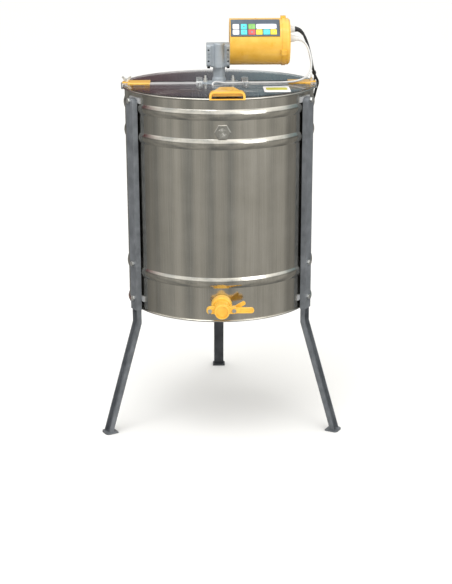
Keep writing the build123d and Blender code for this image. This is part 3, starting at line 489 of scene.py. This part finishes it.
# ---------- label on the front lid, badge relief ----------
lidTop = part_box("front_lid")[1][2]
label = {
    "x": 0.1525, "y": -0.138, "halfWidth": 0.0355, "halfDepth": 0.052, "thick": 0.0003, "sink": 0.00002,
    "bandShift": 0.006, "bandLift": 0.0002, "bandShare": 0.8, "bandHalfDepth": 0.022, "bandThick": 0.0002,
}
flatAxes = np.eye(3)
print("labels")
labelFace = (label["x"], label["y"], lidTop - label["sink"])
labelPad = padShape(labelFace, *flatAxes, label["halfWidth"], label["halfDepth"], label["thick"], 14.0, 64)
meshPiece("lidLabel", *labelPad, mat["fieldWhite"], "front_lid", "white_pvc")
bandFace = (label["x"], label["y"] + label["bandShift"], lidTop + label["bandLift"])
bandHalfWidth = label["halfWidth"] * label["bandShare"]
bandPad = padShape(bandFace, *flatAxes, bandHalfWidth, label["bandHalfDepth"], label["bandThick"], 10.0, 64)
meshPiece("lidLabelBand", *bandPad, mat["band"], "front_lid", "yellow_plastic")

badgeLow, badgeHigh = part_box("badge")
badge = {"ridges": [0.0105, 0.0068, 0.0031], "half": 0.0007, "rise": 0.0016, "depth": 0.001}


def hexRidge(centre, radius, half, rise, sides=6, around=8):
    # a rounded wire whose path is a regular hexagon in the badge's face
    corner = np.linspace(0, 2 * math.pi, sides, endpoint=False) + math.pi / 6
    section = np.linspace(0, 2 * math.pi, around, endpoint=False)
    reach = radius + half * np.cos(section)[None, :]
    height = -rise * np.sin(section)[None, :] * np.ones((sides, 1))
    x = reach * np.cos(corner)[:, None]
    z = reach * np.sin(corner)[:, None]
    verts = np.stack([x, height, z], axis=-1).reshape(-1, 3) + np.asarray(centre)
    r, c = np.meshgrid(np.arange(sides), np.arange(around), indexing="ij")
    a, b = r * around + c, r * around + (c + 1) % around
    up = ((r + 1) % sides) * around
    faces = np.stack([a, b, up + (c + 1) % around, up + c], axis=-1).reshape(-1, 4).tolist()
    return verts, faces


badgeX, badgeZ = [(badgeLow[i] + badgeHigh[i]) / 2 for i in (0, 2)]
badgeMiddle = (badgeX, badgeLow[1] + badge["depth"], badgeZ)
ridges = [hexRidge(badgeMiddle, r, badge["half"], badge["rise"] / 2) for r in badge["ridges"]]
meshPiece("badgeRelief", *joinShapes(ridges), mat["badge"], "frame", "stainless", False)

# ---------- floor, lights, world, camera ----------
print("stage")
floorMesh = bpy.data.meshes.new("studioFloor")
floorHalf = 40.0
floorSquare = ((-1, -1), (1, -1), (1, 1), (-1, 1))
floorMesh.from_pydata([(x * floorHalf, y * floorHalf, 0) for x, y in floorSquare], [], [(0, 1, 2, 3)])
floorObject = bpy.data.objects.new("studioFloor", floorMesh)
bpy.context.scene.collection.objects.link(floorObject)
floorObject.location.z = -0.0005  # just under the feet
floorObject.visible_glossy = False  # the shiny drum mirrors the yard instead
paper, paperTree, paperShader = newMaterial("whitePaper")
paperShader.inputs["Base Color"].default_value = linear("#F6F6F5")
paperShader.inputs["Roughness"].default_value = 0.9
paperShader.inputs["Specular IOR Level"].default_value = 0.1
floorMesh.materials.append(paper)

lights = {
    "skyPanel": {"place": (-0.9, -1.6, 3.4), "aim": (0, 0, 0.9), "size": 2.4, "power": 46},
    "sidePanel": {"place": (2.2, -2.6, 1.5), "aim": (0, 0, 0.7), "size": 1.6, "power": 20},
}
for name, light in lights.items():
    data = bpy.data.lights.new(name, "AREA")
    data.size = light["size"]
    data.energy = light["power"]
    lamp = bpy.data.objects.new(name, data)
    bpy.context.scene.collection.objects.link(lamp)
    place = np.array(light["place"])
    away = place - np.array(light["aim"])
    lamp.location = place
    fromZenith = math.atan2(math.hypot(away[0], away[1]), away[2])
    lamp.rotation_euler = (fromZenith, 0, math.atan2(away[0], -away[1]))

# an open yard: bright overcast sky, pale ground, dark low band, dim walls behind the object
world = bpy.data.worlds.new("softYard")
bpy.context.scene.world = world
world.use_nodes = True
worldTree = world.node_tree
worldTree.nodes.clear()
direction = addNode(worldTree, "ShaderNodeTexCoord").outputs["Generated"]
axes = addNode(worldTree, "ShaderNodeSeparateXYZ", {0: direction})


def grey(value, tint=(1, 1, 1)):
    return [value * tint[0], value * tint[1], value * tint[2], 1]


# each ramp climbs from straight down, 0, over the horizon, 0.5, to straight up, 1
height = ranged(worldTree, axes.outputs["Z"], -1.0, 1.0)
warm, cool = (1.0, 0.985, 0.95), (0.94, 0.98, 1.0)
ahead = addRamp(worldTree, height, [
    (0.0, grey(0.32, warm)), (0.30, grey(0.42, warm)), (0.44, grey(0.50, warm)),
    (0.492, grey(0.28, warm)), (0.52, grey(0.5)), (0.545, grey(1.35)), (1.0, grey(1.35)),
])
behindLeft = addRamp(worldTree, height, [
    (0.0, grey(0.30, warm)), (0.44, grey(0.22, warm)), (0.50, grey(0.10)),
    (0.55, (0.17, 0.07, 0.085, 1)), (0.64, (0.22, 0.10, 0.11, 1)),
    (0.72, grey(0.8)), (1.0, grey(1.5)),
])
behindRight = addRamp(worldTree, height, [
    (0.0, grey(0.30, warm)), (0.44, grey(0.24, warm)), (0.50, grey(0.12)),
    (0.55, (0.24, 0.32, 0.36, 1)), (0.64, (0.30, 0.40, 0.44, 1)),
    (0.72, grey(0.9)), (1.0, grey(1.5)),
])
sideways = ranged(worldTree, axes.outputs["X"], -0.05, 0.05)
behind = blended(worldTree, sideways, behindLeft, behindRight)
backward = ranged(worldTree, axes.outputs["Y"], -0.35, 0.2)
around = blended(worldTree, backward, ahead, behind)
stretched = {"Vector": direction, "Scale": (3.2, 3.2, 0.5)}
patchy = addNode(worldTree, "ShaderNodeMapping", stretched).outputs[0]
patches = noiseOf(worldTree, patchy, 1.0, 4.0)
patchTone = addRamp(worldTree, patches, [
    (0.36, grey(0.6, cool)), (0.5, grey(0.92, warm)), (0.66, grey(1.3, warm)),
])
yard = blended(worldTree, 1.0, around, patchTone, blend_type="MULTIPLY")
background = addNode(worldTree, "ShaderNodeBackground", {0: yard, 1: 1.0})
output = addNode(worldTree, "ShaderNodeOutputWorld")
worldTree.links.new(background.outputs[0], output.inputs[0])

camera = {
    "place": (-0.054927, -3.654364, 1.487333), "tilt": 0.2996, "roll": -0.0035, "turn": 0.0197,
    "lens": 80.87, "reach": 200,
}
cameraData = bpy.data.cameras.new("camera")
cameraData.lens = camera["lens"]
cameraData.clip_end = camera["reach"]
cameraObject = bpy.data.objects.new("camera", cameraData)
bpy.context.scene.collection.objects.link(cameraObject)
cameraTurn = (
    Matrix.Rotation(-camera["turn"], 4, "Z")
    @ Matrix.Rotation(math.pi / 2 - camera["tilt"], 4, "X")
    @ Matrix.Rotation(camera["roll"], 4, "Z")
)
cameraObject.matrix_world = Matrix.Translation(camera["place"]) @ cameraTurn
bpy.context.scene.camera = cameraObject
bpy.context.scene.view_settings.view_transform = "Standard"
